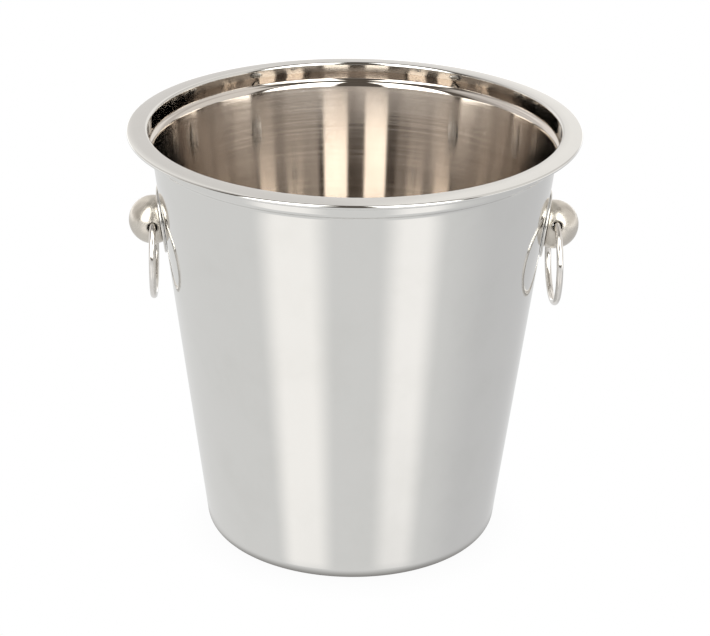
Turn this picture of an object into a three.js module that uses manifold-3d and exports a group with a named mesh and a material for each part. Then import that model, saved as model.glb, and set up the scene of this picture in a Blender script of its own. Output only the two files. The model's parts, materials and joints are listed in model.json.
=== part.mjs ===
// Champagne bucket of drawn stainless steel, with a ball knob and a loose ring handle on each side.
// Millimetres, +Z up. The origin is the centre of the foot, and +X runs through the right-hand knob.
import * as THREE from "three";
import { mergeVertices } from "three/addons/utils/BufferGeometryUtils.js";
import Module from "manifold-3d";

const wasm = await Module();
wasm.setup();

// Bucket
const HEIGHT = 211; // foot to the highest line of the rim
const RIM_RADIUS = 110; // outermost edge of the rim
const FOOT_RADIUS = 65; // flat foot, out to where the corner starts
const SHEET = 0.8; // thickness of the drawn steel
const CORNER = 8; // outside radius between the foot and the wall
const FLANGE = 9.5; // rim edge to the outside of the collar
const COLLAR = 8.3; // height of the upright collar, rim line to shoulder
const STEP = 2.6; // how far the shoulder draws the wall in below the collar
const SHOULDER_TURN = THREE.MathUtils.degToRad(60); // steepest lean of the shoulder's S-bend
const CROWN = 40; // radius of the gently rounded flange
const CROWN_ANGLE = THREE.MathUtils.degToRad(6); // how far the flange has turned down at its edge
const HEM_FOLD = 0.4; // inside radius of the folded edge
const HEM_TAIL = 3; // how far the fold runs back under the flange
const LIP_FILLET = 1.5; // inside radius between the collar and the flange
const KICK = 1.2; // how far the middle of the floor stands above the foot
const FOOT_LAND = 6.5; // width of the flat ring that the bucket stands on
const KICK_RUN = 2.5; // width of the slope between that ring and the raised floor

// Knob and its fixings, along the knob's own axis, square to the wall
const KNOB_DROP = 50; // rim line down to the knob's centre
const KNOB_RADIUS = 12.05;
const KNOB_SHEET = 0.7;
const STANDOFF = 5.1; // wall surface out to the knob's centre
const BORE_PLAY = 0.28; // room round the wire where it slants through a hole in the knob
const BORE_SKEW = THREE.MathUtils.degToRad(2); // how far from square the holes are drilled
const KNOB_TURN = { right: THREE.MathUtils.degToRad(-15), left: 0 }; // how each was left when tightened
const PLATE_RADIUS = 17;
const PLATE_SHEET = 1;
const STUD_RADIUS = 2.5;
const STUD_SPARE = 4; // stud beyond the washer, inside the nut
const HEAD_RADIUS = 4.5;
const HEAD_HEIGHT = 1.2;
const SEAL_RADIUS = 7.5;
const SEAL_THICKNESS = 1.5;
const WASHER_RADIUS = 6.5;
const WASHER_THICKNESS = 1.2;
const NUT_FLATS = 8;
const NUT_HEX = 4.5; // height of the six-sided part
const NUT_DOME = 3.7; // radius of the dome on top of it

// Ring
const RING_RADIUS = 21; // to the middle of the wire
const WIRE = 3.3; // wire diameter
const RING_REACH = 3.5; // how far each end reaches in past the knob's surface

const GAP = 0.3; // between pieces that sit against each other, and round the stud

// How finely the round shapes are cut
const TURNS = 64; // sides of the bucket, a multiple of four
const BALL_SIDES = 28;
const DISC_SIDES = 40; // plates, seals and washers
const STUD_SIDES = 24; // studs and all holes
const DOME_SIDES = 16;
const WIRE_SIDES = 10;
const RING_STEPS = 48;

const STEEL = { color: 0xc9c8c4, roughness: 0.12, metalness: 1 };
const SATIN = { color: 0xb9b0a2, roughness: 0.3, metalness: 1 };
const RUBBER = { color: 0x2b2b2c, roughness: 0.8, metalness: 0 };

const hemRadius = SHEET + HEM_FOLD;
const kickRadius = FOOT_RADIUS - FOOT_LAND - KICK_RUN;

// The slanting wall runs from the foot's corner to the foot of the shoulder, tangent to the corner.
const collarRadius = RIM_RADIUS - FLANGE;
const shoulderBend = STEP / (2 * (1 - Math.cos(SHOULDER_TURN)));
const shoulderTop = HEIGHT - COLLAR;
const shoulderFoot = shoulderTop - 2 * shoulderBend * Math.sin(SHOULDER_TURN);
const wallTopRadius = collarRadius - STEP;
const rise = new THREE.Vector2(wallTopRadius - FOOT_RADIUS, shoulderFoot - CORNER);
const taper = Math.atan2(rise.x, rise.y) - Math.asin(CORNER / rise.length());
const wallRadius = (z) => wallTopRadius - (shoulderFoot - z) * Math.tan(taper);

// Points of a round stretch of an outline, about a centre, from one angle to another.
function arc(x, y, radius, from, to, steps) {
  const points = [];
  for (let i = 0; i <= steps; i += 1) {
    const angle = from + ((to - from) * i) / steps;
    points.push(new THREE.Vector2(x + radius * Math.cos(angle), y + radius * Math.sin(angle)));
  }
  return points;
}

// A solid of revolution about Z from its outline, given as radius and height.
function turned(outline, sides = STUD_SIDES) {
  return new THREE.LatheGeometry(outline, sides).rotateX(Math.PI / 2);
}

function solidOf(geometry) {
  const bare = geometry.clone();
  bare.deleteAttribute("normal");
  bare.deleteAttribute("uv");
  const merged = mergeVertices(bare, 1e-4);
  const vertProperties = merged.attributes.position.array;
  return new wasm.Manifold(new wasm.Mesh({ numProp: 3, vertProperties, triVerts: merged.index.array }));
}

function geometryOf(solid) {
  const made = solid.getMesh();
  const geometry = new THREE.BufferGeometry();
  geometry.setAttribute("position", new THREE.BufferAttribute(made.vertProperties, 3));
  geometry.setIndex(new THREE.BufferAttribute(made.triVerts, 1));
  const flat = geometry.toNonIndexed();
  flat.computeVertexNormals();
  return flat;
}

function piece(name, geometry, finish) {
  const mesh = new THREE.Mesh(geometry, new THREE.MeshStandardMaterial(finish));
  mesh.name = name;
  return mesh;
}

// A rod along Z between two heights.
function rod(radius, low, high, sides = STUD_SIDES) {
  const body = new THREE.CylinderGeometry(radius, radius, high - low, sides).rotateX(Math.PI / 2);
  return body.translate(0, 0, (low + high) / 2);
}

// The knob's frame: +Z square to the wall and outwards, +X down along the wall.
// Its origin is the ball's centre.
const knobHeight = HEIGHT - KNOB_DROP;
const knobFrame = new THREE.Group();
knobFrame.position.set(wallRadius(knobHeight) + STANDOFF / Math.cos(taper), 0, knobHeight);
knobFrame.rotation.y = Math.PI / 2 + taper;
knobFrame.updateMatrix();
const toKnob = knobFrame.matrix.clone().invert();

// The wall's slanting skin as a solid band between two distances from its outside, in the knob's frame.
function wallBand(inner, outer) {
  const reach = 2 * PLATE_RADIUS;
  const at = (distance, z) => new THREE.Vector2(wallRadius(z) + distance / Math.cos(taper), z);
  const low = knobHeight - reach;
  const high = knobHeight + reach;
  const outline = [at(inner, low), at(outer, low), at(outer, high), at(inner, high), at(inner, low)];
  return solidOf(turned(outline, TURNS).applyMatrix4(toKnob));
}

// One face of the bucket's sheet, from the middle of the floor to the end of the folded edge.
// A depth of 0 is the face that holds the ice, and SHEET is the face outside.
function sheetFace(depth) {
  const quarter = Math.PI / 2;
  const hemX = RIM_RADIUS - hemRadius;
  const crownX = hemX - (CROWN - hemRadius) * Math.sin(CROWN_ANGLE);
  const crownY = HEIGHT - CROWN;
  const hemY = crownY + (CROWN - hemRadius) * Math.cos(CROWN_ANGLE);
  const hemEnd = -quarter - CROWN_ANGLE;
  const hem = arc(hemX, hemY, hemRadius - depth, quarter - CROWN_ANGLE, hemEnd, 5);
  const tail = new THREE.Vector2(-Math.cos(CROWN_ANGLE), Math.sin(CROWN_ANGLE));
  const lower = shoulderBend + SHEET - depth;
  const upper = shoulderBend - SHEET + depth;
  const lipX = collarRadius - SHEET + LIP_FILLET;
  return [
    new THREE.Vector2(0, KICK + SHEET - depth),
    new THREE.Vector2(kickRadius, KICK + SHEET - depth),
    new THREE.Vector2(kickRadius + KICK_RUN, SHEET - depth),
    ...arc(FOOT_RADIUS, CORNER, CORNER - SHEET + depth, -quarter, -taper, 4),
    ...arc(wallTopRadius + shoulderBend, shoulderFoot, lower, Math.PI - taper, Math.PI - SHOULDER_TURN, 2),
    ...arc(collarRadius - shoulderBend, shoulderTop, upper, -SHOULDER_TURN, 0, 2).slice(1),
    ...arc(lipX, HEIGHT - LIP_FILLET, LIP_FILLET - depth, Math.PI, quarter, 2),
    ...arc(crownX, crownY, CROWN - depth, quarter, quarter - CROWN_ANGLE, 3).slice(0, -1),
    ...hem,
    hem.at(-1).clone().addScaledVector(tail, HEM_TAIL),
  ];
}

// Drawn and spun in one piece, with its edge folded under, and a hole on each side for a knob's stud.
function bucketShell() {
  const shell = solidOf(turned([...sheetFace(SHEET), ...sheetFace(0).reverse()], TURNS));
  const drill = rod(STUD_RADIUS + GAP, -2 * STANDOFF, 0).applyMatrix4(knobFrame.matrix);
  const left = drill.clone().rotateZ(Math.PI);
  return geometryOf(shell.subtract(solidOf(drill)).subtract(solidOf(left)));
}

// Heights along the knob's axis. Each piece of the fixing sits on the one before it.
const wallInside = -STANDOFF - SHEET;
const plateFront = -STANDOFF + GAP + PLATE_SHEET;
const sealEnd = wallInside - GAP - SEAL_THICKNESS;
const washerEnd = sealEnd - GAP - WASHER_THICKNESS;
const nutFace = washerEnd - GAP;
const studEnd = nutFace - STUD_SPARE;

// A thin disc pressed to the curve of the wall, with a hole for the stud.
function backplate() {
  const disc = solidOf(rod(PLATE_RADIUS, -2 * STANDOFF, STANDOFF, DISC_SIDES));
  const hole = solidOf(rod(STUD_RADIUS + GAP, -3 * STANDOFF, 2 * STANDOFF));
  const sheet = wallBand(GAP, GAP + PLATE_SHEET);
  return geometryOf(sheet.intersect(disc).subtract(hole));
}

// The line through a knob's two holes, which its ring swings on, seen from the bucket's own axes.
function pivotLine(side) {
  const out = new THREE.Vector3(0, 0, 1).applyEuler(knobFrame.rotation);
  const square = new THREE.Vector3(Math.sin(BORE_SKEW), -Math.cos(BORE_SKEW), 0);
  return square.applyAxisAngle(out, KNOB_TURN[side]);
}

function ball(radius, sides) {
  return new THREE.SphereGeometry(radius, sides, sides / 2).rotateX(Math.PI / 2);
}

const ringPivot = KNOB_RADIUS - KNOB_SHEET / 2; // half the distance between the points the ring swings on
const ringDrop = Math.sqrt(RING_RADIUS ** 2 - ringPivot ** 2); // ball's centre down to the ring's centre
const slant = Math.asin(ringPivot / RING_RADIUS); // of the wire where it passes through a hole
const boreRadius = WIRE / (2 * Math.cos(slant)) + (KNOB_SHEET / 2) * Math.tan(slant) + BORE_PLAY;

// A hollow ball, open at the back where it is brazed to the plate, with two holes for the ring.
function knob(side) {
  const outside = solidOf(ball(KNOB_RADIUS, BALL_SIDES));
  const inside = solidOf(ball(KNOB_RADIUS - KNOB_SHEET, BALL_SIDES));
  const drill = rod(boreRadius, -2 * KNOB_RADIUS, 2 * KNOB_RADIUS);
  const line = pivotLine(side).transformDirection(toKnob);
  drill.applyQuaternion(new THREE.Quaternion().setFromUnitVectors(new THREE.Vector3(0, 0, 1), line));
  const wall = wallBand(-2 * KNOB_RADIUS, 2 * GAP + PLATE_SHEET);
  return geometryOf(outside.subtract(inside).subtract(solidOf(drill)).subtract(wall));
}

// A flat-headed stud that holds the plate and the ball, its head inside the ball.
function stud() {
  const low = plateFront + GAP;
  const outline = [
    new THREE.Vector2(0, studEnd),
    new THREE.Vector2(STUD_RADIUS, studEnd),
    new THREE.Vector2(STUD_RADIUS, low),
    new THREE.Vector2(HEAD_RADIUS, low),
    new THREE.Vector2(HEAD_RADIUS, low + HEAD_HEIGHT),
    new THREE.Vector2(0, low + HEAD_HEIGHT),
  ];
  return turned(outline);
}

// A soft washer that keeps the meltwater in.
// Its outer face is moulded to the wall, and its inner face is flat.
function seal() {
  const disc = solidOf(rod(SEAL_RADIUS, sealEnd, 0, DISC_SIDES));
  const hole = solidOf(rod(STUD_RADIUS + GAP, 2 * sealEnd, STANDOFF));
  const clear = wallBand(-SHEET - GAP, 4 * STANDOFF);
  return geometryOf(disc.subtract(clear).subtract(hole));
}

function washer() {
  const inner = STUD_RADIUS + GAP;
  const outline = [
    new THREE.Vector2(inner, washerEnd),
    new THREE.Vector2(WASHER_RADIUS, washerEnd),
    new THREE.Vector2(WASHER_RADIUS, washerEnd + WASHER_THICKNESS),
    new THREE.Vector2(inner, washerEnd + WASHER_THICKNESS),
    new THREE.Vector2(inner, washerEnd),
  ];
  return turned(outline, DISC_SIDES);
}

// A closed nut, so that nothing sharp stands into the bucket.
function domeNut() {
  const corner = NUT_FLATS / Math.sqrt(3);
  const hexEnd = nutFace - NUT_HEX;
  const hex = solidOf(rod(corner, hexEnd, nutFace, 6));
  const dome = solidOf(ball(NUT_DOME, DOME_SIDES).translate(0, 0, hexEnd));
  const bore = solidOf(rod(STUD_RADIUS + GAP, studEnd - GAP, nutFace + GAP));
  return geometryOf(hex.add(dome).subtract(bore));
}

// The ring is a round wire bent to most of a circle.
// Its ends are sprung into the knob's two holes and stay inside the ball.
class RingCurve extends THREE.Curve {
  constructor(radius, half) {
    super();
    this.radius = radius;
    this.half = half;
  }

  getPoint(t, target = new THREE.Vector3()) {
    const angle = this.half + t * (2 * Math.PI - 2 * this.half);
    return target.set(this.radius * Math.sin(angle), 0, this.radius * Math.cos(angle));
  }
}

// Drawn hanging, with the pivot line along X through the origin.
function ring() {
  const half = Math.asin((KNOB_RADIUS - RING_REACH) / RING_RADIUS);
  const section = new THREE.Shape(arc(0, 0, WIRE / 2, 0, 2 * Math.PI, WIRE_SIDES).slice(0, -1));
  const extrudePath = new RingCurve(RING_RADIUS, half);
  const wire = new THREE.ExtrudeGeometry(section, { steps: RING_STEPS, extrudePath, bevelEnabled: false });
  return wire.translate(0, 0, -ringDrop);
}

// The ring's frame: +X along its pivot line, and hanging with its weight as low as that line lets it go.
function hangingFrame(pivot) {
  const up = new THREE.Vector3(0, 0, 1).projectOnPlane(pivot).normalize();
  return new THREE.Matrix4().makeBasis(pivot, new THREE.Vector3().crossVectors(up, pivot), up);
}

// Everything on one side, made for the right and turned half round for the left.
function handle(side) {
  const fixing = new THREE.Group();
  fixing.position.copy(knobFrame.position);
  fixing.rotation.copy(knobFrame.rotation);
  fixing.add(
    piece(`${side}_knob`, knob(side), SATIN),
    piece(`${side}_backplate`, backplate(), STEEL),
    piece(`${side}_stud`, stud(), STEEL),
    piece(`${side}_seal`, seal(), RUBBER),
    piece(`${side}_washer`, washer(), STEEL),
    piece(`${side}_dome_nut`, domeNut(), STEEL),
  );
  const loose = piece(`${side}_ring`, ring(), STEEL);
  loose.position.copy(knobFrame.position);
  loose.setRotationFromMatrix(hangingFrame(pivotLine(side)));
  const whole = new THREE.Group();
  whole.add(fixing, loose);
  return whole;
}

const bucket = new THREE.Group();
const right = handle("right");
const left = handle("left");
left.rotation.z = Math.PI;
bucket.add(piece("bucket_shell", bucketShell(), STEEL), right, left);
export default bucket;
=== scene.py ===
import json
import math

import bmesh
import bpy
import numpy as np
from mathutils import Matrix, Vector


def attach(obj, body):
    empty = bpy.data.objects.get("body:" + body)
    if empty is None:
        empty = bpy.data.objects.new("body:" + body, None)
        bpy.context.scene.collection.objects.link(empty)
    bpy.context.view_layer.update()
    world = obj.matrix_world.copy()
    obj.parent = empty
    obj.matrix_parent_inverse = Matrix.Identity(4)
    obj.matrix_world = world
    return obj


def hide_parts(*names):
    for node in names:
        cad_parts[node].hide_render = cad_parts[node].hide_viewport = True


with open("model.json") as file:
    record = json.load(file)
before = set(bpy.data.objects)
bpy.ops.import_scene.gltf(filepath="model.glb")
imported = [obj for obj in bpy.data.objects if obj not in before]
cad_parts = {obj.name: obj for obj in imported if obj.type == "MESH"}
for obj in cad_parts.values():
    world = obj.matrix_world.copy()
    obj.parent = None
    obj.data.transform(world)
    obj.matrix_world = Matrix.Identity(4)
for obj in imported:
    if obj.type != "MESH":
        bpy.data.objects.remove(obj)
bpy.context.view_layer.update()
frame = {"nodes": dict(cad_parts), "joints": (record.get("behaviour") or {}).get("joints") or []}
scene = bpy.context.scene


# Bucket: one sheet of stainless steel, drawn and spun, with its edge folded under all round.
# The outside and the rim are buffed to a mirror. The inside keeps the fine rings of the
# polishing mops, which ran round it while it turned.
HEIGHT = 0.211
RIM_RADIUS = 0.10996
FOOT_RADIUS = 0.065
SHEET = 0.0008
CORNER = 0.008
COLLAR_RADIUS = 0.1005
COLLAR = 0.0083
STEP = 0.0026
SHOULDER_TURN = math.radians(60)
CROWN = 0.024
CROWN_ANGLE = math.radians(14)
HEM = 0.0011
HEM_TAIL = 0.003
LIP_FILLET = 0.0015
KICK = 0.0012
KICK_RADIUS = 0.056
KICK_RUN = 0.0025
KICK_EASE = 0.0005
KICK_EASE_DROP = 0.0002
BUCKET_SIDES = 288
STUD_HOLE = 0.0028
WALL_STEP = 0.0035
LIP_STEP = math.radians(10)
CROWN_STEP = math.radians(1)
FOLD_STEP = math.radians(12)
TOUCHING = 1e-6

shoulder_bend = STEP / (2 * (1 - math.cos(SHOULDER_TURN)))
shoulder_top = HEIGHT - COLLAR
shoulder_foot = shoulder_top - 2 * shoulder_bend * math.sin(SHOULDER_TURN)
wall_top_radius = COLLAR_RADIUS - STEP
rise = Vector((wall_top_radius - FOOT_RADIUS, shoulder_foot - CORNER))
taper = math.atan2(rise.x, rise.y) - math.asin(CORNER / rise.length)


def wall_radius(z):
    return wall_top_radius - (shoulder_foot - z) * math.tan(taper)


def bend(x, y, radius, start, end, step=math.radians(6)):
    count = max(2, math.ceil(abs(end - start) / step))
    turns = [start + (end - start) * i / count for i in range(count + 1)]
    return [(x + radius * math.cos(a), y + radius * math.sin(a)) for a in turns]


def filled(points, step):
    """The same outline with extra points along its longer straights."""
    full = [points[0]]
    for start, end in zip(points, points[1:]):
        count = max(1, round(math.dist(start, end) / step))
        for i in range(1, count + 1):
            full.append(tuple(a + (b - a) * i / count for a, b in zip(start, end)))
    return full


def sheet_face(depth):
    """One face of the sheet, from the middle of the floor to the end of the folded edge."""
    quarter = math.pi / 2
    hem_x = RIM_RADIUS - HEM
    crown_x = hem_x - (CROWN - HEM) * math.sin(CROWN_ANGLE)
    hem_y = HEIGHT - CROWN + (CROWN - HEM) * math.cos(CROWN_ANGLE)
    lip_x = COLLAR_RADIUS - SHEET + LIP_FILLET
    inner = KICK + SHEET - depth
    kick_foot = KICK_RADIUS + KICK_RUN
    crown_end = quarter - CROWN_ANGLE
    fold = bend(hem_x, hem_y, HEM - depth, crown_end, -quarter - CROWN_ANGLE, FOLD_STEP)
    last_x, last_y = fold[-1]
    tail_x = last_x - HEM_TAIL * math.cos(CROWN_ANGLE)
    tail_y = last_y + HEM_TAIL * math.sin(CROWN_ANGLE)
    inside_bend = shoulder_bend + SHEET - depth
    outside_bend = shoulder_bend - SHEET + depth
    lower_x = wall_top_radius + shoulder_bend
    upper_x = COLLAR_RADIUS - shoulder_bend
    half_turn = math.pi
    return [
        (0, inner),
        (KICK_RADIUS - KICK_EASE, inner),
        (KICK_RADIUS + KICK_EASE, inner - KICK_EASE_DROP),
        (kick_foot - KICK_EASE, SHEET - depth + KICK_EASE_DROP),
        (kick_foot + KICK_EASE, SHEET - depth),
        *bend(FOOT_RADIUS, CORNER, CORNER - SHEET + depth, -quarter, -taper),
        *bend(lower_x, shoulder_foot, inside_bend, half_turn - taper, half_turn - SHOULDER_TURN),
        *bend(upper_x, shoulder_top, outside_bend, -SHOULDER_TURN, 0)[1:],
        *bend(lip_x, HEIGHT - LIP_FILLET, LIP_FILLET - depth, half_turn, quarter, LIP_STEP),
        *bend(crown_x, HEIGHT - CROWN, CROWN - depth, quarter, crown_end, CROWN_STEP)[:-1],
        *fold,
        (tail_x, tail_y),
    ]


def join(tree, source, target):
    tree.links.new(source, target)


def node(tree, kind, inputs=None, **settings):
    made = tree.nodes.new(kind)
    for name, value in settings.items():
        setattr(made, name, value)
    for name, value in (inputs or {}).items():
        if isinstance(value, bpy.types.NodeSocket):
            tree.links.new(value, made.inputs[name])
        else:
            made.inputs[name].default_value = value
    return made


def sums(tree, operation, first, second=None, third=None):
    """One Math node. Each value is a number or another node's output."""
    values = {i: v for i, v in enumerate((first, second, third)) if v is not None}
    return node(tree, "ShaderNodeMath", values, operation=operation).outputs[0]


def ramp(tree, value, start, end, low=0.0, high=1.0, kind="LINEAR"):
    """Carries a value from one range over to another and holds it at the ends."""
    return node(tree, "ShaderNodeMapRange", {
        "Value": value, "From Min": start, "From Max": end, "To Min": low, "To Max": high},
        interpolation_type=kind).outputs[0]


def blend(tree, factor, first, second):
    """A colour between two others."""
    return node(tree, "ShaderNodeMix", {0: factor, 6: (*first, 1), 7: (*second, 1)},
                data_type="RGBA").outputs[2]


def turning_tree():
    """Geometry nodes that turn an outline, whose points are radius and height, about Z."""
    tree = bpy.data.node_groups.new("turned_on_the_lathe", "GeometryNodeTree")
    face = tree.interface
    face.new_socket("Outline", in_out="INPUT", socket_type="NodeSocketGeometry")
    face.new_socket("Sides", in_out="INPUT", socket_type="NodeSocketInt")
    face.new_socket("Inside Points", in_out="INPUT", socket_type="NodeSocketInt")
    face.new_socket("Inside Finish", in_out="INPUT", socket_type="NodeSocketMaterial")
    face.new_socket("Outside Finish", in_out="INPUT", socket_type="NodeSocketMaterial")
    face.new_socket("Turned", in_out="OUTPUT", socket_type="NodeSocketGeometry")
    given = node(tree, "NodeGroupInput")
    size = node(tree, "GeometryNodeAttributeDomainSize", {0: given.outputs["Outline"]},
                component="MESH")
    points = size.outputs["Point Count"]
    sides = given.outputs["Sides"]
    along = sums(tree, "SUBTRACT", points, 1)
    grid = node(tree, "GeometryNodeMeshGrid", {
        "Size X": along, "Size Y": sides, "Vertices X": points})
    join(tree, sums(tree, "ADD", sides, 1), grid.inputs["Vertices Y"])
    place = node(tree, "GeometryNodeInputPosition")
    split = node(tree, "ShaderNodeSeparateXYZ", {0: place.outputs[0]})
    row = sums(tree, "ADD", split.outputs["X"], sums(tree, "MULTIPLY", along, 0.5))
    side = sums(tree, "ADD", split.outputs["Y"], sums(tree, "MULTIPLY", sides, 0.5))
    last_inside = sums(tree, "SUBTRACT", given.outputs["Inside Points"], 1)
    is_inside = sums(tree, "LESS_THAN", row, last_inside)
    outside = node(tree, "GeometryNodeSetMaterial", {
        "Geometry": grid.outputs["Mesh"], "Material": given.outputs["Outside Finish"]})
    inside = node(tree, "GeometryNodeSetMaterial", {
        "Geometry": outside.outputs[0], "Selection": is_inside,
        "Material": given.outputs["Inside Finish"]})
    outline = node(tree, "GeometryNodeSampleIndex", {
        "Geometry": given.outputs["Outline"], "Value": place.outputs[0],
        "Index": sums(tree, "ROUND", row)},
        data_type="FLOAT_VECTOR", domain="POINT")
    point = node(tree, "ShaderNodeSeparateXYZ", {0: outline.outputs["Value"]})
    angle = sums(tree, "MULTIPLY", sums(tree, "DIVIDE", side, sides), 2 * math.pi)
    round_x = sums(tree, "MULTIPLY", point.outputs["X"], sums(tree, "COSINE", angle))
    round_y = sums(tree, "MULTIPLY", point.outputs["X"], sums(tree, "SINE", angle))
    turned = node(tree, "ShaderNodeCombineXYZ", {
        "X": round_x, "Y": round_y, "Z": point.outputs["Z"]})
    moved = node(tree, "GeometryNodeSetPosition", {
        "Geometry": inside.outputs[0], "Position": turned.outputs[0]})
    closed = node(tree, "GeometryNodeMergeByDistance", {
        "Geometry": moved.outputs[0], "Distance": TOUCHING})
    smooth = node(tree, "GeometryNodeSetShadeSmooth", {
        "Geometry": closed.outputs[0], "Shade Smooth": True})
    real = node(tree, "GeometryNodeRealizeInstances", {"Geometry": smooth.outputs[0]})
    node(tree, "NodeGroupOutput", {0: real.outputs[0]})
    return tree


def as_built(piece):
    """The piece's mesh with its modifiers carried out."""
    bpy.context.view_layer.update()
    built = piece.evaluated_get(bpy.context.evaluated_depsgraph_get())
    return bpy.data.meshes.new_from_object(built)


def keep_used_finishes(shape):
    """Drops the empty and unused material slots of a mesh."""
    finish = [shape.materials[face.material_index] for face in shape.polygons]
    used = sorted({material.name for material in finish if material})
    shape.materials.clear()
    for name in used:
        shape.materials.append(bpy.data.materials[name])
    shape.polygons.foreach_set("material_index", [used.index(m.name) if m else 0 for m in finish])


def grown(name, base, tree, values):
    """Runs a geometry node tree on a mesh and keeps the result as a plain mesh object."""
    rough = bpy.data.objects.new(name + "_draft", base)
    scene.collection.objects.link(rough)
    modifier = rough.modifiers.new("Shape", "NODES")
    modifier.node_group = tree
    for item in tree.interface.items_tree:
        if item.in_out == "INPUT" and item.name in values:
            modifier[item.identifier] = values[item.name]
    shape = as_built(rough)
    bpy.data.objects.remove(rough)
    shape.name = name
    keep_used_finishes(shape)
    piece = bpy.data.objects.new(name, shape)
    scene.collection.objects.link(piece)
    return piece


def face_outwards(piece):
    solid = bmesh.new()
    solid.from_mesh(piece.data)
    bmesh.ops.remove_doubles(solid, verts=solid.verts, dist=TOUCHING)
    bmesh.ops.recalc_face_normals(solid, faces=solid.faces)
    solid.to_mesh(piece.data)
    solid.free()
    return piece


lathe = turning_tree()


def turned(name, outline, sides, finish, inside_points=0, inside_finish=None):
    base = bpy.data.meshes.new(name + "_outline")
    edges = [(i, i + 1) for i in range(len(outline) - 1)]
    base.from_pydata([(r, 0, z) for r, z in outline], edges, [])
    piece = grown(name, base, lathe, {
        "Sides": sides, "Inside Points": inside_points,
        "Inside Finish": inside_finish or finish, "Outside Finish": finish})
    return face_outwards(piece)


def cut(piece, cutter):
    """Takes the cutter's shape out of the piece, and throws the cutter away."""
    knife = piece.modifiers.new("Cut", "BOOLEAN")
    knife.operation = "DIFFERENCE"
    knife.solver = "EXACT"
    knife.object = cutter
    shape = as_built(piece)
    shape.name = piece.name
    keep_used_finishes(shape)
    piece.modifiers.clear()
    piece.data = shape
    bpy.data.objects.remove(cutter)
    return piece


def new_group(name, inputs, outputs):
    group = bpy.data.node_groups.new(name, "ShaderNodeTree")
    for label, value in inputs.items():
        socket = group.interface.new_socket(label, in_out="INPUT", socket_type="NodeSocketFloat")
        socket.default_value = value
    for label in outputs:
        group.interface.new_socket(label, in_out="OUTPUT", socket_type="NodeSocketFloat")
    return group, node(group, "NodeGroupInput"), node(group, "NodeGroupOutput")


def turning_lines_group():
    """Fine rings left by a mop or a tool on a turned surface, about the object's Z axis."""
    group, given, result = new_group(
        "turning_lines", {"Rings per Metre": 1500, "Length": 6}, ["Lines"])
    where = node(group, "ShaderNodeTexCoord").outputs["Object"]
    split = node(group, "ShaderNodeSeparateXYZ", {0: where})
    flat = node(group, "ShaderNodeCombineXYZ", {"X": split.outputs["X"], "Y": split.outputs["Y"]})
    radius = node(group, "ShaderNodeVectorMath", {0: flat.outputs[0]}, operation="LENGTH")
    along = sums(group, "ADD", radius.outputs["Value"], split.outputs["Z"])
    fine = sums(group, "MULTIPLY", along, given.outputs["Rings per Metre"])
    spread = node(group, "ShaderNodeVectorMath", {0: flat.outputs[0]}, operation="SCALE")
    join(group, given.outputs["Length"], spread.inputs["Scale"])
    wide = node(group, "ShaderNodeSeparateXYZ", {0: spread.outputs[0]})
    spot = node(group, "ShaderNodeCombineXYZ", {
        "X": wide.outputs["X"], "Y": wide.outputs["Y"], "Z": fine})
    lines = node(group, "ShaderNodeTexNoise", {
        "Vector": spot.outputs[0], "Scale": 1, "Detail": 4, "Roughness": 0.7})
    join(group, lines.outputs["Fac"], result.inputs["Lines"])
    return group


def handling_group():
    """Smudges from hands and cloths, and a few hair-thin scratches, at the object's own scale."""
    group, given, result = new_group(
        "handling", {"Smudge Size": 0.03, "Scratches": 0.5}, ["Smudge", "Scratch"])
    where = node(group, "ShaderNodeTexCoord").outputs["Object"]
    scale = sums(group, "DIVIDE", 1, given.outputs["Smudge Size"])
    smudge = node(group, "ShaderNodeTexNoise", {
        "Vector": where, "Scale": scale, "Detail": 5, "Roughness": 0.6})
    soft = ramp(group, smudge.outputs["Fac"], 0.42, 0.75, kind="SMOOTHSTEP")
    hairs = None
    for turn in ((0.3, 0.2, 1.1), (1.3, 0.9, 0.2), (0.1, 2.2, 0.7)):
        lay = node(group, "ShaderNodeMapping", {
            "Vector": where, "Rotation": turn, "Scale": (22, 1400, 900)})
        hair = node(group, "ShaderNodeTexNoise", {
            "Vector": lay.outputs[0], "Scale": 1, "Detail": 1})
        thin = ramp(group, hair.outputs["Fac"], 0.74, 0.8)
        hairs = thin if hairs is None else sums(group, "MAXIMUM", hairs, thin)
    scratch = sums(group, "MULTIPLY", hairs, given.outputs["Scratches"])
    join(group, soft, result.inputs["Smudge"])
    join(group, scratch, result.inputs["Scratch"])
    return group


turning_lines = turning_lines_group()
handling = handling_group()


def use_group(tree, group, **values):
    made = node(tree, "ShaderNodeGroup", node_tree=group)
    for label, value in values.items():
        made.inputs[label.replace("_", " ")].default_value = value
    return made


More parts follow.
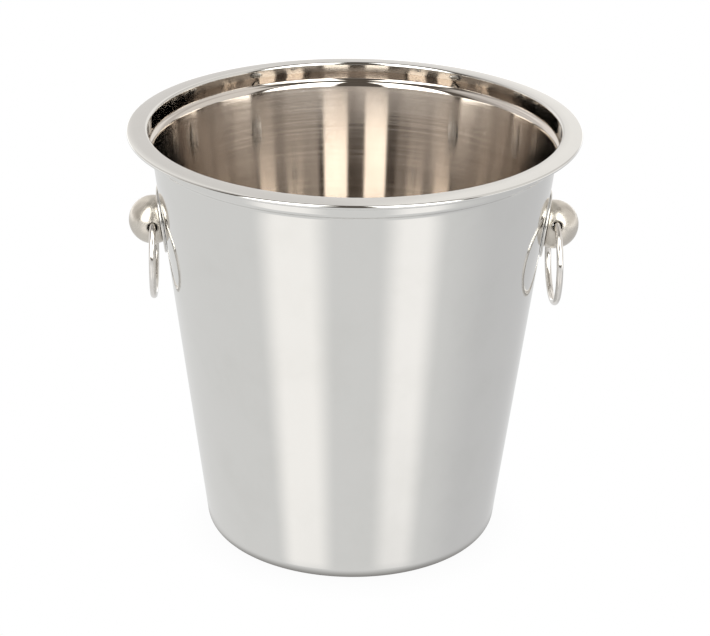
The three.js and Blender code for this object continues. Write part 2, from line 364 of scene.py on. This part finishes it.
def steel(name, colour, dull, rough, ring_pitch, ring_depth, grain=0.0, scratches=0.5,
          smudge_size=0.03, streak=0.0, buffed=None):
    """Bare stainless steel.

    Dull is its colour where it is smudged. Rough is its lowest and highest roughness. Streak is
    how much the rings darken it. Buffed gives two heights: the roughness and the rings fall away
    from the first to the second.
    """
    material = bpy.data.materials.new(name)
    material.use_nodes = True
    tree = material.node_tree
    tree.nodes.clear()
    shader = node(tree, "ShaderNodeBsdfPrincipled", {
        "Metallic": 1.0, "Anisotropic": grain, "Anisotropic Rotation": 0.25})
    rings = use_group(tree, turning_lines, Rings_per_Metre=1 / ring_pitch).outputs["Lines"]
    marks = use_group(tree, handling, Smudge_Size=smudge_size, Scratches=scratches)
    tint = blend(tree, marks.outputs["Smudge"], colour, dull)
    streaked = node(tree, "ShaderNodeVectorMath", {0: tint}, operation="SCALE")
    join(tree, ramp(tree, rings, 0.35, 0.65, 1 - streak, 1.0), streaked.inputs["Scale"])
    join(tree, streaked.outputs[0], shader.inputs["Base Color"])
    low, high = rough
    worn = sums(tree, "MULTIPLY_ADD", marks.outputs["Scratch"], 0.15,
                ramp(tree, rings, 0.3, 0.7, low, high))
    hazed = sums(tree, "MULTIPLY_ADD", marks.outputs["Smudge"], (high - low) * 0.6, worn)
    height = sums(tree, "MULTIPLY_ADD", marks.outputs["Scratch"], -1, rings)
    if buffed:
        where = node(tree, "ShaderNodeTexCoord").outputs["Object"]
        split = node(tree, "ShaderNodeSeparateXYZ", {0: where})
        kept = ramp(tree, split.outputs["Z"], *buffed, 1.0, 0.3, kind="SMOOTHSTEP")
        hazed = sums(tree, "MULTIPLY", hazed, kept)
        height = sums(tree, "MULTIPLY", height, kept)
    join(tree, hazed, shader.inputs["Roughness"])
    bump = node(tree, "ShaderNodeBump", {
        "Height": height, "Distance": ring_depth, "Strength": 1.0})
    join(tree, bump.outputs[0], shader.inputs["Normal"])
    if grain:
        around = node(tree, "ShaderNodeTangent", direction_type="RADIAL", axis="Z")
        join(tree, around.outputs[0], shader.inputs["Tangent"])
    node(tree, "ShaderNodeOutputMaterial", {"Surface": shader.outputs[0]})
    return material


mirror_polish = steel("mirror_polish", (0.745, 0.74, 0.722), (0.725, 0.72, 0.70), (0.04, 0.07),
                      ring_pitch=0.0006, ring_depth=2e-8, scratches=0.6)
turned_polish = steel("turned_polish", (0.73, 0.685, 0.64), (0.70, 0.65, 0.605), (0.05, 0.10),
                      ring_pitch=0.0012, ring_depth=6e-7, grain=0.97, streak=0.09,
                      buffed=(shoulder_foot - 0.002, shoulder_top))

inside_face = filled(sheet_face(0), WALL_STEP)
outside_face = filled(sheet_face(SHEET), WALL_STEP)
inside_radius = COLLAR_RADIUS - SHEET + TOUCHING
inside_points = [i for i, (r, z) in enumerate(inside_face)
                 if r <= inside_radius and z < HEIGHT - LIP_FILLET]
shell = turned("bucket", inside_face + outside_face[::-1], BUCKET_SIDES, mirror_polish,
               inside_points[-1] + 1, turned_polish)

ring_joints = {joint["name"].split("_")[0]: joint for joint in frame["joints"]}


def knob_frame(side):
    """+Z square to the wall and outwards, +X down along the wall, origin at the ball's centre."""
    centre = Vector(ring_joints[side]["pos_m"])
    way = 1 if centre.x > 0 else -1
    out = Vector((way * math.cos(taper), 0, -math.sin(taper)))
    down = Vector((-way * math.sin(taper), 0, -math.cos(taper)))
    return Matrix.Translation(centre) @ Matrix((down, out.cross(down), out)).transposed().to_4x4()


DRILL_DEPTH = 0.012
DRILL_SIDES = 48


def drill_bit(name, start, end, finish):
    """A plain rod as wide as a stud's hole, between two heights over the knob's middle."""
    outline = [(0, start), (STUD_HOLE, start), (STUD_HOLE, end), (0, end)]
    return turned(name, outline, DRILL_SIDES, finish)


for side in ("right", "left"):
    drill = drill_bit("drill", -DRILL_DEPTH, 0, mirror_polish)
    drill.data.transform(knob_frame(side))
    cut(shell, drill)
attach(shell, "bucket")
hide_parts("bucket_shell")


# Backplates: thin steel discs pressed to the curve of the wall, one behind each knob.
# They are cut with a rounded edge and buffed like the bucket.
PLATE_RADIUS = 0.017
PLATE_SHEET = 0.001
PLATE_EDGE = 0.00045
PLATE_GAP = 0.0003
PLATE_SIDES = 96
PLATE_STEP = 0.0008
STANDOFF = 0.0051
SETTLING_TURNS = 6
plate_polish = steel("plate_polish", (0.78, 0.765, 0.74), (0.72, 0.70, 0.67), (0.05, 0.10),
                     ring_pitch=0.0004, ring_depth=4e-8, scratches=0.8, smudge_size=0.012)


def pressed_to_wall(piece):
    """Bends a piece made on a flat face onto the wall, so its heights run out from the wall."""
    for vertex in piece.data.vertices:
        down, across, away = vertex.co
        height = -STANDOFF
        for _ in range(SETTLING_TURNS):
            place = knob_matrix @ Vector((down, across, height))
            gap = (math.hypot(place.x, place.y) - wall_radius(place.z)) * math.cos(taper)
            height -= gap - away
        vertex.co = (down, across, height)
    return piece


for side in ("right", "left"):
    knob_matrix = knob_frame(side)
    low, high = PLATE_GAP, PLATE_GAP + PLATE_SHEET
    edge = PLATE_RADIUS - PLATE_EDGE
    outline = [
        (STUD_HOLE, low), (edge, low),
        *bend(edge, low + PLATE_EDGE, PLATE_EDGE, -math.pi / 2, 0, math.radians(15)),
        *bend(edge, high - PLATE_EDGE, PLATE_EDGE, 0, math.pi / 2, math.radians(15)),
        (STUD_HOLE, high), (STUD_HOLE, low),
    ]
    plate = turned(f"{side}_plate", filled(outline, PLATE_STEP), PLATE_SIDES, plate_polish)
    pressed_to_wall(plate)
    plate.data.transform(knob_matrix)
    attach(plate, "bucket")
    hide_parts(f"{side}_backplate")


# Knobs: hollow steel balls with two drilled holes, brazed to the plates and held by the studs.
# They are finished satin, a little duller and warmer than the bucket.
KNOB_RADIUS = 0.01199
KNOB_SHEET = 0.0007
BORE_RADIUS = 0.0025
BORE_EDGE = 0.00022
KNOB_SIDES = 128
CUTTER_SIDES = 360
CUTTER_STEP = 0.002
CUTTER_RADIUS = 0.07
CUTTER_ENDS = (0.12, 0.2)
satin_polish = steel("satin_polish", (0.67, 0.63, 0.57), (0.60, 0.56, 0.50), (0.24, 0.36),
                     ring_pitch=0.0003, ring_depth=3e-7, scratches=0.7, smudge_size=0.008)


def ball_outline():
    """A hollow ball, turned about the line through its two holes, with the holes' edges rounded."""
    inner = KNOB_RADIUS - KNOB_SHEET
    mouth = BORE_RADIUS + BORE_EDGE
    start = math.acos(mouth / KNOB_RADIUS)
    mouth_height = (KNOB_RADIUS - BORE_EDGE) * math.sin(start)
    rim = bend(mouth, mouth_height, BORE_EDGE, start, math.pi, math.radians(20))
    outer = bend(0, 0, KNOB_RADIUS, -start, start, math.radians(2.5))
    hollow = math.acos(BORE_RADIUS / inner)
    inward = bend(0, 0, inner, hollow, -hollow, math.radians(5))
    lower = [(r, -z) for r, z in rim[::-1]]
    return outer + rim + inward + lower + outer[:1]


for side in ("right", "left"):
    knob_matrix = knob_frame(side)
    bore = Vector(ring_joints[side]["axis"])
    ball = turned(f"{side}_ball", ball_outline(), KNOB_SIDES, satin_polish)
    spin = Vector((0, 0, 1)).rotation_difference(bore).to_matrix().to_4x4()
    ball.data.transform(Matrix.Translation(knob_matrix.translation) @ spin)
    front = 2 * PLATE_GAP + PLATE_SHEET
    band = [(wall_radius(z) + front / math.cos(taper), z) for z in CUTTER_ENDS]
    low, high = CUTTER_ENDS
    outline = [(CUTTER_RADIUS, low), *filled(band, CUTTER_STEP), (CUTTER_RADIUS, high),
               (CUTTER_RADIUS, low)]
    cutter = turned("cutter", outline, CUTTER_SIDES, satin_polish)
    cut(ball, cutter)
    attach(ball, "bucket")
    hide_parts(f"{side}_knob")


# Rings: round steel wire bent to most of a circle, its ends sprung into the knob's holes.
# Each hangs loose and swings on the line through the two holes.
RING_RADIUS = 0.021
WIRE_RADIUS = 0.00165
RING_REACH = 0.0035
WIRE_SIDES = 32
RING_STEPS = 180
ring_polish = steel("ring_polish", (0.80, 0.775, 0.745), (0.72, 0.69, 0.655), (0.05, 0.11),
                    ring_pitch=0.0005, ring_depth=4e-8, scratches=1.0, smudge_size=0.006)


def bent_wire_tree():
    """Geometry nodes that sweep a round wire along part of a circle in the XZ plane."""
    tree = bpy.data.node_groups.new("bent_wire", "GeometryNodeTree")
    face = tree.interface
    face.new_socket("Base", in_out="INPUT", socket_type="NodeSocketGeometry")
    for label in ("Ring Radius", "Wire Radius", "Half Gap"):
        face.new_socket(label, in_out="INPUT", socket_type="NodeSocketFloat")
    face.new_socket("Steps", in_out="INPUT", socket_type="NodeSocketInt")
    face.new_socket("Wire Sides", in_out="INPUT", socket_type="NodeSocketInt")
    face.new_socket("Finish", in_out="INPUT", socket_type="NodeSocketMaterial")
    face.new_socket("Wire", in_out="OUTPUT", socket_type="NodeSocketGeometry")
    given = node(tree, "NodeGroupInput")
    gap = given.outputs["Half Gap"]
    sweep = sums(tree, "SUBTRACT", 2 * math.pi, sums(tree, "MULTIPLY", gap, 2))
    start = sums(tree, "ADD", gap, math.pi / 2)
    arc = node(tree, "GeometryNodeCurveArc", {
        "Resolution": given.outputs["Steps"], "Radius": given.outputs["Ring Radius"],
        "Start Angle": start, "Sweep Angle": sweep}, mode="RADIUS")
    upright = node(tree, "GeometryNodeTransform", {
        "Geometry": arc.outputs[0], "Rotation": (math.pi / 2, 0, 0)})
    section = node(tree, "GeometryNodeCurvePrimitiveCircle", {
        "Resolution": given.outputs["Wire Sides"], "Radius": given.outputs["Wire Radius"]},
        mode="RADIUS")
    swept = node(tree, "GeometryNodeCurveToMesh", {
        "Curve": upright.outputs[0], "Profile Curve": section.outputs[0], "Fill Caps": True})
    smooth = node(tree, "GeometryNodeSetShadeSmooth", {
        "Geometry": swept.outputs[0], "Shade Smooth": True})
    real = node(tree, "GeometryNodeRealizeInstances", {"Geometry": smooth.outputs[0]})
    finish = node(tree, "GeometryNodeSetMaterial", {
        "Geometry": real.outputs[0], "Material": given.outputs["Finish"]})
    node(tree, "NodeGroupOutput", {0: finish.outputs[0]})
    return tree


bent_wire = bent_wire_tree()
pivot_reach = KNOB_RADIUS - KNOB_SHEET / 2
ring_drop = math.sqrt(RING_RADIUS ** 2 - pivot_reach ** 2)
for side in ("right", "left"):
    loop = grown(f"{side}_loop", bpy.data.meshes.new("bare"), bent_wire, {
        "Ring Radius": RING_RADIUS, "Wire Radius": WIRE_RADIUS,
        "Half Gap": math.asin((KNOB_RADIUS - RING_REACH) / RING_RADIUS),
        "Steps": RING_STEPS, "Wire Sides": WIRE_SIDES, "Finish": ring_polish})
    face_outwards(loop)
    pivot = Vector(ring_joints[side]["axis"])
    up = (Vector((0, 0, 1)) - pivot * pivot.z).normalized()
    hanging = Matrix((pivot, up.cross(pivot), up)).transposed().to_4x4()
    centre = Matrix.Translation(Vector(ring_joints[side]["pos_m"]))
    loop.data.transform(centre @ hanging @ Matrix.Translation((0, 0, -ring_drop)))
    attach(loop, f"{side}_handle")
    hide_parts(f"{side}_ring")


# Fixings: a flat-headed stud through each plate and wall, a soft seal, a washer and a dome nut.
# The studs sit out of sight inside the balls and nuts, so they stay as plain turned rods.
SEAL_THICKNESS = 0.0015
WASHER_THICKNESS = 0.0012
WASHER_RADIUS = 0.0065
WASHER_EDGE = 0.0002
NUT_FLATS = 0.008
NUT_HEX = 0.0045
NUT_DOME = 0.0037
NUT_BORE = 0.0043
NUT_CHAMFER = 0.0004
NUT_FACE_EASE = 0.0001
as_turned = steel("as_turned", (0.72, 0.715, 0.70), (0.64, 0.63, 0.61), (0.16, 0.28),
                  ring_pitch=0.0002, ring_depth=3e-7, scratches=0.8, smudge_size=0.005)


def seal_rubber():
    material = bpy.data.materials.new("seal_rubber")
    material.use_nodes = True
    tree = material.node_tree
    tree.nodes.clear()
    shader = node(tree, "ShaderNodeBsdfPrincipled", {"Specular IOR Level": 0.4})
    where = node(tree, "ShaderNodeTexCoord").outputs["Object"]
    grain = node(tree, "ShaderNodeTexNoise", {"Vector": where, "Scale": 1800, "Detail": 3})
    bloom = node(tree, "ShaderNodeTexNoise", {"Vector": where, "Scale": 260, "Detail": 2})
    shade = blend(tree, bloom.outputs["Fac"], (0.018, 0.018, 0.019), (0.05, 0.05, 0.05))
    join(tree, shade, shader.inputs["Base Color"])
    rough = ramp(tree, grain.outputs["Fac"], 0, 1, 0.6, 0.85)
    join(tree, rough, shader.inputs["Roughness"])
    bump = node(tree, "ShaderNodeBump", {
        "Height": grain.outputs["Fac"], "Distance": 0.00003, "Strength": 0.5})
    join(tree, bump.outputs[0], shader.inputs["Normal"])
    node(tree, "ShaderNodeOutputMaterial", {"Surface": shader.outputs[0]})
    return material


rubber = seal_rubber()
wall_inside = -STANDOFF - SHEET
seal_end = wall_inside - PLATE_GAP - SEAL_THICKNESS
washer_end = seal_end - PLATE_GAP - WASHER_THICKNESS
nut_face = washer_end - PLATE_GAP


def dome_nut(name):
    """A closed nut: a six-sided part with its corners turned off, and a dome on top."""
    hex_end = nut_face - NUT_HEX
    corner = NUT_FLATS / math.sqrt(3)
    bar_end = hex_end - 0.01
    bar = [(0, nut_face), (corner, nut_face), (corner, bar_end), (0, bar_end)]
    blank = turned(name, bar, 6, as_turned)
    flat = math.cos(math.radians(30)) * corner
    outline = [
        (0, nut_face), (flat - NUT_FACE_EASE, nut_face),
        (corner, nut_face - NUT_CHAMFER), (corner, hex_end + NUT_CHAMFER),
        (flat, hex_end), *bend(0, hex_end, -NUT_DOME, 0, math.pi / 2),
    ]
    shape = turned(name + "_turned", filled(outline, 0.0005), 96, as_turned)
    knife = blank.modifiers.new("Turned", "BOOLEAN")
    knife.operation = "INTERSECT"
    knife.solver = "EXACT"
    knife.object = shape
    blank.data = as_built(blank)
    blank.modifiers.clear()
    bpy.data.objects.remove(shape)
    cut(blank, drill_bit("hole", nut_face - NUT_BORE, 0, as_turned))
    blank.data.set_sharp_from_angle(angle=math.radians(28))
    return blank


for side in ("right", "left"):
    knob_matrix = knob_frame(side)
    low, high = washer_end, washer_end + WASHER_THICKNESS
    edge = WASHER_RADIUS - WASHER_EDGE
    outline = [
        (STUD_HOLE, low),
        *bend(edge, low + WASHER_EDGE, WASHER_EDGE, -math.pi / 2, 0, math.radians(30)),
        *bend(edge, high - WASHER_EDGE, WASHER_EDGE, 0, math.pi / 2, math.radians(30)),
        (STUD_HOLE, high), (STUD_HOLE, low),
    ]
    washer = turned(f"{side}_flat_washer", filled(outline, 0.0006), 72, as_turned)
    nut = dome_nut(f"{side}_closed_nut")
    for piece, stands_for in ((washer, f"{side}_washer"), (nut, f"{side}_dome_nut")):
        piece.data.transform(knob_matrix)
        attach(piece, "bucket")
        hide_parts(stands_for)
    for carried, finish in ((f"{side}_stud", as_turned), (f"{side}_seal", rubber)):
        frame["nodes"][carried].data.materials.clear()
        frame["nodes"][carried].data.materials.append(finish)


# Studio: a pale table, and a room of soft lights that the polished steel shows.
# Two tall lights flank the camera, a white wall stands behind, and the ceiling is dark.
FLOOR_RADIUS = 8.0
FLOOR_SINK = 0.0002
scene.view_settings.view_transform = "Standard"


def flat_disc(name, radius, sides, sink):
    """A thin round sheet lying on the table, and the empty node tree of its material."""
    sheet = bpy.data.meshes.new(name)
    draft = bmesh.new()
    bmesh.ops.create_circle(draft, cap_ends=True, radius=radius, segments=sides)
    draft.to_mesh(sheet)
    draft.free()
    disc = bpy.data.objects.new(name, sheet)
    scene.collection.objects.link(disc)
    disc.location.z = -sink
    disc.visible_diffuse = False
    paint = bpy.data.materials.new(name + "_paint")
    paint.use_nodes = True
    paint.node_tree.nodes.clear()
    sheet.materials.append(paint)
    return disc, paint.node_tree


floor, tree = flat_disc("floor", FLOOR_RADIUS, 64, FLOOR_SINK)
floor.visible_glossy = False
# The table glows evenly white, with a faint painted shade where its ambient occlusion finds the
# bucket close by.
shade = node(tree, "ShaderNodeAmbientOcclusion", {"Distance": 0.02}, samples=8)
tone = ramp(tree, shade.outputs["AO"], 0, 1, 0.96, 1.0)
lit = node(tree, "ShaderNodeEmission", {"Strength": tone})
node(tree, "ShaderNodeOutputMaterial", {"Surface": lit.outputs[0]})

# The shade under the foot, which only the polished steel near the table shows.
SHADE_RADIUS = 0.12
SHADE_SINK = 0.0001
SHADE_CORE = 0.066
SHADE_END = 0.080
foot_shade, tree = flat_disc("foot_shade", SHADE_RADIUS, 96, SHADE_SINK)
foot_shade.visible_camera = False
foot_shade.visible_shadow = False
where = node(tree, "ShaderNodeTexCoord").outputs["Object"]
from_middle = node(tree, "ShaderNodeVectorMath", {0: where}, operation="LENGTH").outputs["Value"]
faded = ramp(tree, from_middle, SHADE_CORE, SHADE_END, kind="SMOOTHSTEP")
gloom = node(tree, "ShaderNodeEmission", {"Color": (0.22, 0.21, 0.20, 1)})
clear = node(tree, "ShaderNodeBsdfTransparent")
mixed = node(tree, "ShaderNodeMixShader", {0: faded, 1: gloom.outputs[0], 2: clear.outputs[0]})
node(tree, "ShaderNodeOutputMaterial", {"Surface": mixed.outputs[0]})

# Each light: azimuth from the camera's side towards +X and how softly its sides fade, then
# height above the table and how softly it ends there, all in degrees, then its colour. They add
# to the room's own colour, and a light with a colour below zero is a shade.
ROOM_ABOVE = (0.12, 0.105, 0.09)
ROOM_BELOW = (0.80, 0.80, 0.795)
LIGHTS = [
    ((64, 126), 4, (-10, 64), 4, (0.74, 0.73, 0.71)),
    ((126, 146), 4, (-10, 64), 4, (0.54, 0.53, 0.52)),
    ((146, 178), 5, (-10, 64), 4, (0.90, 0.89, 0.87)),
    ((178, 195), 5, (-10, 64), 4, (0.68, 0.67, 0.66)),
    ((195, 222), 5, (-10, 64), 4, (0.90, 0.89, 0.87)),
    ((222, 262), 6, (-10, 64), 4, (0.64, 0.63, 0.62)),
    ((262, 285), 6, (-10, 64), 4, (0.38, 0.37, 0.36)),
    ((-56, -18), 3, (6, 76), 3, (3.9, 3.9, 3.75)),
    ((13, 54), 3, (6, 76), 3, (3.9, 3.9, 3.75)),
    ((-56, -20), 9, (-46, -12), 6, (0.36, 0.34, 0.32)),
    ((24, 52), 9, (-44, -12), 7, (0.36, 0.34, 0.325)),
    ((75, 160), 25, (-70, -8), 6, (-0.13, -0.13, -0.12)),
]

world = bpy.data.worlds.new("studio")
world.use_nodes = True
scene.world = world
tree = world.node_tree
tree.nodes.clear()
direction = node(tree, "ShaderNodeTexCoord").outputs["Generated"]
way = node(tree, "ShaderNodeSeparateXYZ", {0: direction})
to_camera = sums(tree, "MULTIPLY", way.outputs["Y"], -1)
turned_by = sums(tree, "ARCTAN2", way.outputs["X"], to_camera)
azimuth = sums(tree, "MULTIPLY", turned_by, math.degrees(1))
height = sums(tree, "MULTIPLY", sums(tree, "ARCSINE", way.outputs["Z"]), math.degrees(1))


def within(value, low, high, soft):
    """1 between two angles, fading to 0 over the soft distance on each side."""
    up = ramp(tree, value, low - soft, low + soft, kind="SMOOTHSTEP")
    down = ramp(tree, value, high - soft, high + soft, 1, 0, kind="SMOOTHSTEP")
    return sums(tree, "MULTIPLY", up, down)


def added(base, colour, mask):
    glow = node(tree, "ShaderNodeVectorMath", {0: colour}, operation="SCALE")
    join(tree, mask, glow.inputs["Scale"])
    total = node(tree, "ShaderNodeVectorMath", {0: base, 1: glow.outputs[0]}, operation="ADD")
    return total.outputs[0]


horizon = ramp(tree, height, -2, 2, kind="SMOOTHSTEP")
light = blend(tree, horizon, ROOM_BELOW, ROOM_ABOVE)
for (start, end), side_fade, (low, high), end_fade, colour in LIGHTS:
    middle, half = (start + end) / 2, (end - start) / 2
    turn = sums(tree, "WRAP", sums(tree, "SUBTRACT", azimuth, middle), 180, -180)
    across = within(turn, -half, half, side_fade)
    upright = within(height, low, high, end_fade)
    light = added(light, colour, sums(tree, "MULTIPLY", across, upright))
by_camera = node(tree, "ShaderNodeLightPath").outputs["Is Camera Ray"]
seen = node(tree, "ShaderNodeMix", {0: by_camera, 6: light, 7: (1, 1, 1, 1)}, data_type="RGBA")
sky = node(tree, "ShaderNodeBackground", {"Color": seen.outputs[2]})
node(tree, "ShaderNodeOutputWorld", {"Surface": sky.outputs[0]})

# Camera: a long lens a little above the rim, looking down at the middle of the bucket.
LENS = 131.2
DISTANCE = 1.2883
ELEVATION = math.radians(23.1)
ROLL = math.radians(0.68)
AIM = Vector((0.0012, 0, 0.10956))
camera_data = bpy.data.cameras.new("camera")
camera_data.lens = LENS
camera_data.sensor_width = 36
camera_data.clip_start = 0.05
camera_data.clip_end = 50
camera = bpy.data.objects.new("camera", camera_data)
scene.collection.objects.link(camera)
scene.camera = camera
forward = Vector((0, math.cos(ELEVATION), -math.sin(ELEVATION)))
right = Vector((1, 0, 0))
upward = right.cross(forward)
across = right * math.cos(ROLL) + upward * math.sin(ROLL)
along = upward * math.cos(ROLL) - right * math.sin(ROLL)
facing = Matrix((across, along, -forward)).transposed().to_4x4()
camera.matrix_world = Matrix.Translation(AIM - forward * DISTANCE) @ facing
